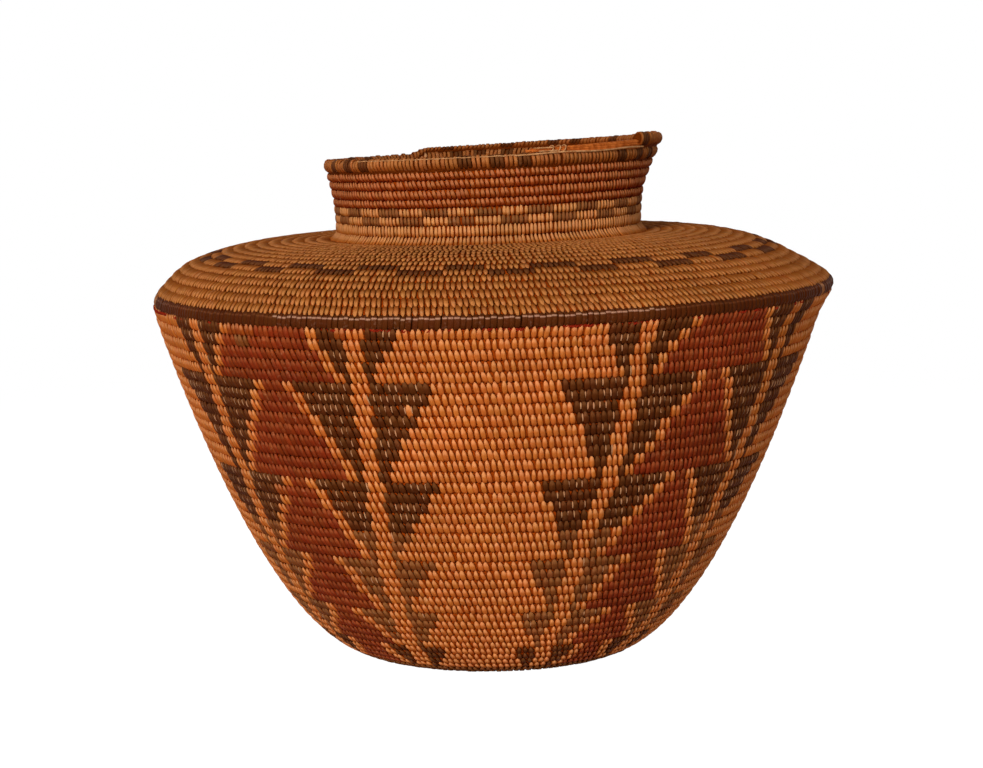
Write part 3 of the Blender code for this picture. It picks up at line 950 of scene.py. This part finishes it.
# How far the bundle fills its course where the coil turns from the base into the wall
BASE_FILL = 1.18
# Half a block, as a share of the way to the next; blocks a turn; middle of the first
BLOCK_HALF = 0.25
SHOULDER_BLOCKS = 21.5
SHOULDER_BLOCK_MIDDLE = -0.045
NECK_BLOCKS = 18.5
NECK_BLOCK_MIDDLE = -0.01
RIM_GROUP = 60
RIM_GROUP_MIDDLE = 2.7
RIM_BLOCK = 5.05
# Front angles of the blocks on the last half turn of the rim
LAST_RIM_BLOCKS = np.array([-164, 173, 154, 145, 126, 111, 88, 65])
# Front angles of the ridge's worn patches and of its painted glint, and the kind of strand there
RIDGE_WEAR_AND_GLINT = ((-84, -78, PALE), (-37, 27, RIDGE_PAINTED_GLINT), (68.5, 70.5, PALE))

sew_wall()
# The base's strands carry painted shade of the underside
sew_band("base_coil", 0, BASE_TURNS, (14, 128), "tan_strands", FOOT_SHADED_TAN, LEAF, fill=BASE_FILL)
sew_band("heel_coil", HEEL, TIER_5, (132.5, 200), "tan_strands", heel_design, LEAF,
         fill=BASE_FILL)
sew_band("shoulder_ridge_coil", RIDGE, SHOULDER_OUTER, (390.5,), "dark_strands", RIDGE_DARK,
         ROLL, inside=False, worn=RIDGE_WEAR_AND_GLINT, depth=RIDGE_DEPTH - 0.0006, surface=DARK_BUNDLE)
sew_band("shoulder_outer_coil", SHOULDER_OUTER, SHOULDER_BLOCK, (372, 345), "ochre_strands",
         DUSTY, TEARDROP, inside=False)
sew_band("shoulder_block_coil", SHOULDER_BLOCK, SHOULDER_INNER, (345, 325), "dark_strands",
         DUSTY, TEARDROP, inside=False,
         dark=blocks(SHOULDER_BLOCK, SHOULDER_BLOCKS, SHOULDER_BLOCK_MIDDLE))
sew_band("shoulder_inner_coil", SHOULDER_INNER, NECK_FOOT, (325, 228), "ochre_strands",
         DUSTY, TEARDROP, inside=False)
sew_band("neck_foot_coil", NECK_FOOT, NECK_BLOCK, (238,), "tan_strands", FOOT_TAN, FOOT)
sew_band("neck_block_coil", NECK_BLOCK, NECK_BODY, (224,), "dark_strands", FOOT_TAN, FOOT,
         dark=blocks(NECK_BLOCK, NECK_BLOCKS, NECK_BLOCK_MIDDLE), dark_kind=FADED)
# The neck body's tan is darkened as painted shade of its round coils
sew_band("neck_body_coil", NECK_BODY, RIM, (209,), "red_brown_strands", RUSSET_AND_SHADED_NECK_TAN, BEAD,
         inside_kind=INSIDE_TAN)
# The rim's strands carry painted shade as well as a duskier tan
sew_band("rim_coil", RIM, WRAP_END, (234,), "tan_strands", RIM_DUSKY_SHADED_TAN, WRAP, inside=False,
         dark=rim_blocks, fill=0.82, low_fill=1.6, squareness=1.0, surface=RIM_BUNDLE_SHADED)


# Loose stems, yarn and the knot

def tubes(name, paths, radii, node_name, surface):
    """Thin round strands along their own paths, as one piece."""
    curve = bpy.data.curves.new(name, "CURVE")
    curve.dimensions = "3D"
    curve.bevel_depth = 1
    curve.bevel_resolution = 1
    curve.use_fill_caps = True
    for path, radius in zip(paths, radii):
        spline = curve.splines.new("POLY")
        spline.points.add(len(path) - 1)
        spline.points.foreach_set("co", np.append(path, np.ones((len(path), 1)), axis=1).ravel())
        spline.points.foreach_set("radius", np.broadcast_to(radius, len(path)).astype(float))
    add_piece(name, take_mesh(add_object(name, curve)), (node_name,), [surface])


def turn_at(course, front):
    """Turn of a course at a front angle in degrees."""
    return course + (math.degrees(SEAM_ANGLE) - front) % 360 / 360


def lay_yarn():
    """Two plies in the groove below the ridge, worn away but for flecks here and there."""
    turn = np.linspace(RIDGE + YARN_START, RIDGE + 1 - CLIMB_SHARE, YARN_SAMPLES)
    twist = turn * math.tau * SHOULDER_RADIUS / YARN_PITCH * math.tau
    knots = np.linspace(turn[0], turn[-1], YARN_KNOTS)
    left = np.interp(turn, knots, rng.random(YARN_KNOTS))
    left = np.clip((left - YARN_WORN) * 3, 0, 1)
    left = np.where(np.abs(front_degrees(turn) - YARN_KEPT) < YARN_KEPT_REACH, 1, left)
    middle = coil.joint(turn) + YARN_WAVE * np.sin(turn * 140) - YARN_WAVE
    paths = []
    for ply in (0, math.pi):
        length = middle + YARN_PLY * np.cos(twist + ply)
        height = YARN_PLY * np.sin(twist + ply) - YARN_DEPTH + YARN_STAND * left
        paths.append(on_coil(turn, length, height))
    tubes("shoulder_yarn_plies", paths, (YARN_PLY, YARN_PLY), "shoulder_yarn",
          RED_YARN)


def lay_bare_stems():
    """Split stems of the coil's end, side by side, each broken off at its own place."""
    paths, radii = [], []
    for _ in range(STEM_COUNT):
        end = STEM_END - abs(rng.normal(0, STEM_BREAK))
        turn = np.linspace(WRAP_END - STEM_HIDDEN, end, STEM_SAMPLES)
        spread = math.sqrt(rng.random())
        lap = rng.uniform(0, math.tau)
        low = coil.joint(turn)
        loose = np.linspace(0, 1, STEM_SAMPLES) ** 3 * rng.normal(0, STEM_LOOSE)
        thin = np.linspace(1, 0.7, STEM_SAMPLES)
        rise = np.linspace(STEM_RISE, STEM_RISE_AT_END, STEM_SAMPLES)
        rise = rise + (rise - STEM_RADIUS) * spread * math.sin(lap)
        depth = -COIL_DEPTH / 2 + STEM_SPREAD * spread * math.cos(lap) * thin
        paths.append(on_coil(turn, low + rise + loose, depth + loose))
        radii.append(STEM_RADIUS * rng.uniform(0.7, 1.1) * np.linspace(1, 0.6, STEM_SAMPLES))
    # Thicker stems in the heart of the bundle close it from side to side
    turn = np.linspace(WRAP_END - STEM_HIDDEN, STEM_END - HEART_SHORT, STEM_SAMPLES)
    for depth, radius in HEART_STEMS:
        rise = np.linspace(1, 0.6, STEM_SAMPLES) * radius - HEART_SINK
        paths.append(on_coil(turn, coil.joint(turn) + rise, depth - COIL_DEPTH / 2))
        radii.append(np.linspace(1, 0.7, STEM_SAMPLES) * radius)
    tubes("bare_rim_stems", paths, radii, "bare_rim_foundation", STEM)

    turn = np.linspace(*(turn_at(RIM + 1, front) for front in SPLINT_FRONTS), SPLINT_SAMPLES)
    share = np.linspace(0, 1, SPLINT_SAMPLES)
    length = coil.joint(turn) + 0.0005 * (1 - share) + 0.0002 * np.sin(share * 11)
    splint = on_coil(turn, length, 0.0001 - 0.0006 * share)
    bars = []
    for lift, start in BARS:
        bar_turn = np.linspace(turn_at(RIM + 1, start + BAR_SPAN), turn_at(RIM + 1, start), 6)
        bars.append(on_coil(bar_turn, coil.joint(bar_turn) + lift, BAR_HEIGHT))
    # A few loose loops still bind the stems
    lap = np.linspace(0, math.tau, 16)
    for front in BINDING_FRONTS:
        loop_turn = turn_at(RIM + 1, front + BINDING_SLANT * np.sin(lap))
        middle = coil.joint(loop_turn) + STEM_RISE_AT_END
        bars.append(on_coil(loop_turn, middle + 0.0012 * np.sin(lap),
                            -0.0017 + 0.0014 * np.cos(lap)))
    tubes("bare_rim_long_splint", [splint] + bars,
          [SPLINT_RADIUS] + [BINDING_RADIUS] * len(bars), "bare_rim_foundation",
          LOOSE_STRAND)


def lay_rim_edge_strand():
    """A pale strand that runs along the top of the rim at the front left."""
    turn = np.linspace(*(turn_at(RIM, front) for front in EDGE_STRAND_FRONTS), 160)
    low, high = coil.joint(turn), coil.joint(turn, 1)
    length = low + (high - low) * (0.965 + 0.012 * np.sin(turn * 500))
    height = -0.0008 + 0.0001 * np.sin(turn * 377)
    tubes("rim_edge_strand", [on_coil(turn, length, height)],
          [EDGE_STRAND_RADIUS], "rim_coil", LOOSE_STRAND)


def tie_knot():
    """The small tight spiral that the coil starts from, with its first strands."""
    turn = np.linspace(0, KNOT_TURNS, KNOT_SAMPLES)
    radius = KNOT_REACH * np.minimum(1, turn / 2.2)
    middle = COIL_DEPTH / 2
    spiral = np.stack([radius * np.sin(turn * math.tau), -radius * np.cos(turn * math.tau),
                       middle + 0 * turn], axis=1)
    paths, radii = [spiral], [np.full(KNOT_SAMPLES, KNOT_CORD)]
    # The foundation starts thin beside the knot and grows to the full course in its first turn
    turn = np.linspace(0.03, 1.05, 60)
    width = coil.joint(turn) - KNOT_RADIUS
    paths.append(on_coil(turn, KNOT_RADIUS + width / 2, -middle + 0 * turn))
    radii.append(np.minimum(width / 2 + 0.0004, middle * 0.95))
    lap = np.linspace(-2.2, 2.2, 14)
    out = 0.0016 + 0.0012 * np.cos(lap)
    for spoke in range(KNOT_STRANDS):
        turned = math.tau * spoke / KNOT_STRANDS
        paths.append(np.stack([out * math.sin(turned), -out * math.cos(turned),
                               middle + 0.0013 * np.sin(lap)], axis=1))
        radii.append(np.full(len(lap), KNOT_STRAND_RADIUS))
    tubes("start_knot_spiral", paths, radii, "start_knot", KNOT)


YARN_START = 0.002
YARN_SAMPLES = 2400
YARN_WAVE = 0.0002
# Depth of the yarn where it is worn away, and how far it stands out of that where it is left
YARN_DEPTH = 0.0011
YARN_STAND = 0.0010
YARN_PITCH = 0.0021
YARN_PLY = 0.00026
YARN_KNOTS = 260
YARN_WORN = 0.55
# Front angle about which the yarn is still whole
YARN_KEPT = -75
YARN_KEPT_REACH = 7
BINDING_FRONTS = (21.5, 24, 26)
# Slant of the loose loops in front degrees
BINDING_SLANT = 0.8
BINDING_RADIUS = 0.00021
# Front angles of the long splint, and lift and front angle of the short bars beside it
SPLINT_FRONTS = (63, 9)
SPLINT_SAMPLES = 30
SPLINT_RADIUS = 0.00030
BARS = ((0.0009, 17.0), (0.0020, 15.0))
BAR_SPAN = 6.5
BAR_HEIGHT = -0.0004
STEM_COUNT = 26
STEM_SAMPLES = 24
# How far the stems reach under the wrapping, break off before the end, both in turns, bend off
# their course and lie from the bundle's middle, in metres
STEM_HIDDEN = 0.004
STEM_BREAK = 0.022
STEM_LOOSE = 0.00025
STEM_SPREAD = 0.0013
STEM_RADIUS = 0.00045
STEM_RISE = 0.0013
STEM_RISE_AT_END = 0.0008
# Depth off the middle of the bundle and radius of the stems in its heart
HEART_STEMS = ((-0.0008, 0.0007), (0, 0.0009), (0.0008, 0.0007))
HEART_SINK = 0.0004
HEART_SHORT = 0.030
EDGE_STRAND_FRONTS = (26, -50)
EDGE_STRAND_RADIUS = 0.00016
KNOT_TURNS = 3.3
KNOT_SAMPLES = 80
KNOT_REACH = 0.0024
KNOT_CORD = 0.0009
KNOT_STRANDS = 12
KNOT_STRAND_RADIUS = 0.00038

lay_yarn()
lay_bare_stems()
lay_rim_edge_strand()
tie_knot()


# Camera, floor and light

CAMERA_PLACE = (0, -0.9175, 0.2087)
CAMERA_PITCH = math.radians(-7.353)
CAMERA_YAW = math.radians(-0.033)
CAMERA_ROLL = math.radians(-0.549)
CAMERA_LENS = 98.876


def add_camera():
    lens = bpy.data.cameras.new("camera")
    lens.lens = CAMERA_LENS
    lens.sensor_width = 36
    lens.clip_start = 0.05
    lens.clip_end = 20
    camera = add_object("camera", lens)
    camera.matrix_world = (Matrix.Translation(CAMERA_PLACE)
                           @ Matrix.Rotation(CAMERA_YAW, 4, "Z")
                           @ Matrix.Rotation(math.pi / 2 + CAMERA_PITCH, 4, "X")
                           @ Matrix.Rotation(CAMERA_ROLL, 4, "Z"))
    bpy.context.scene.camera = camera


def is_seen(tree):
    """1 for the rays that show the background: camera, glossy and transmission rays."""
    path = tree.nodes.new("ShaderNodeLightPath")
    seen = calc(tree, "MAXIMUM", path.outputs["Is Camera Ray"], path.outputs["Is Glossy Ray"])
    return calc(tree, "MAXIMUM", seen, path.outputs["Is Transmission Ray"])


FLOOR_RADIUS = 6
# Distances from the middle over which the floor turns from near to far, and what it shows of
# its own glow and how strong that is near the basket, where 1 is all
NEAR_FLOOR = (0.15, 0.75)
NEAR_FLOOR_LIFT = 0.84
NEAR_FLOOR_GLOW = 1.24
FILL_LIGHT = 0.17
LAMP_AIM = (0, 0, 0.09)
# Name, place, size and power of each lamp
LAMPS = (("key", (-0.70, -1.74, 0.70), 0.6, 29), ("top", (-0.2, 0.2, 1.8), 0.8, 1.5),
         ("fill", (0.60, -1.80, 0.3), 0.9, 7.5))


def add_floor():
    bm = bmesh.new()
    bmesh.ops.create_circle(bm, cap_ends=True, segments=96, radius=FLOOR_RADIUS)
    floor = add_object("floor", mesh_of(bm, "floor"))
    made, tree, shader = new_material("white floor")
    for name, value in (("Base Color", (0.8, 0.8, 0.8)), ("Roughness", 0.9),
                        ("Specular IOR Level", 0)):
        feed(tree, shader.inputs[name], value)
    surface = tree.nodes.new("ShaderNodeTexCoord")
    off = node(tree, "ShaderNodeVectorMath", operation="LENGTH")
    tree.links.new(surface.outputs["Object"], off.inputs[0])
    away = remap(tree, off.outputs["Value"], *NEAR_FLOOR)
    lift = calc(tree, "ADD", NEAR_FLOOR_LIFT, calc(tree, "MULTIPLY", away, 1 - NEAR_FLOOR_LIFT))
    fade = calc(tree, "MULTIPLY", away, NEAR_FLOOR_GLOW - 1)
    glow = node(tree, "ShaderNodeEmission", Color=(1, 1, 1),
                Strength=calc(tree, "SUBTRACT", NEAR_FLOOR_GLOW, fade))
    mix = tree.nodes.new("ShaderNodeMixShader")
    for socket, value in zip(mix.inputs, (calc(tree, "MULTIPLY", is_seen(tree), lift),
                                          shader.outputs[0], glow.outputs[0])):
        feed(tree, socket, value)
    tree.links.new(mix.outputs[0], tree.nodes["Material Output"].inputs["Surface"])
    floor.data.materials.append(made)


def add_world():
    world = bpy.data.worlds.new("studio")
    bpy.context.scene.world = world
    world.use_nodes = True
    tree = world.node_tree
    back = tree.nodes["Background"]
    feed(tree, back.inputs["Color"], (1, 1, 1))
    feed(tree, back.inputs["Strength"],
         calc(tree, "ADD", FILL_LIGHT, calc(tree, "MULTIPLY", is_seen(tree), 1 - FILL_LIGHT)))


def add_lamp(name, place, size, power):
    lamp = bpy.data.lights.new(name, "AREA")
    lamp.shape = "DISK"
    lamp.size = size
    lamp.energy = power
    toward = Vector(LAMP_AIM) - Vector(place)
    add_object(name, lamp).matrix_world = (
        Matrix.Translation(place) @ toward.to_track_quat("-Z", "Y").to_matrix().to_4x4())


add_camera()
add_floor()
add_world()
for values in LAMPS:
    add_lamp(*values)
bpy.context.scene.view_settings.view_transform = "Standard"
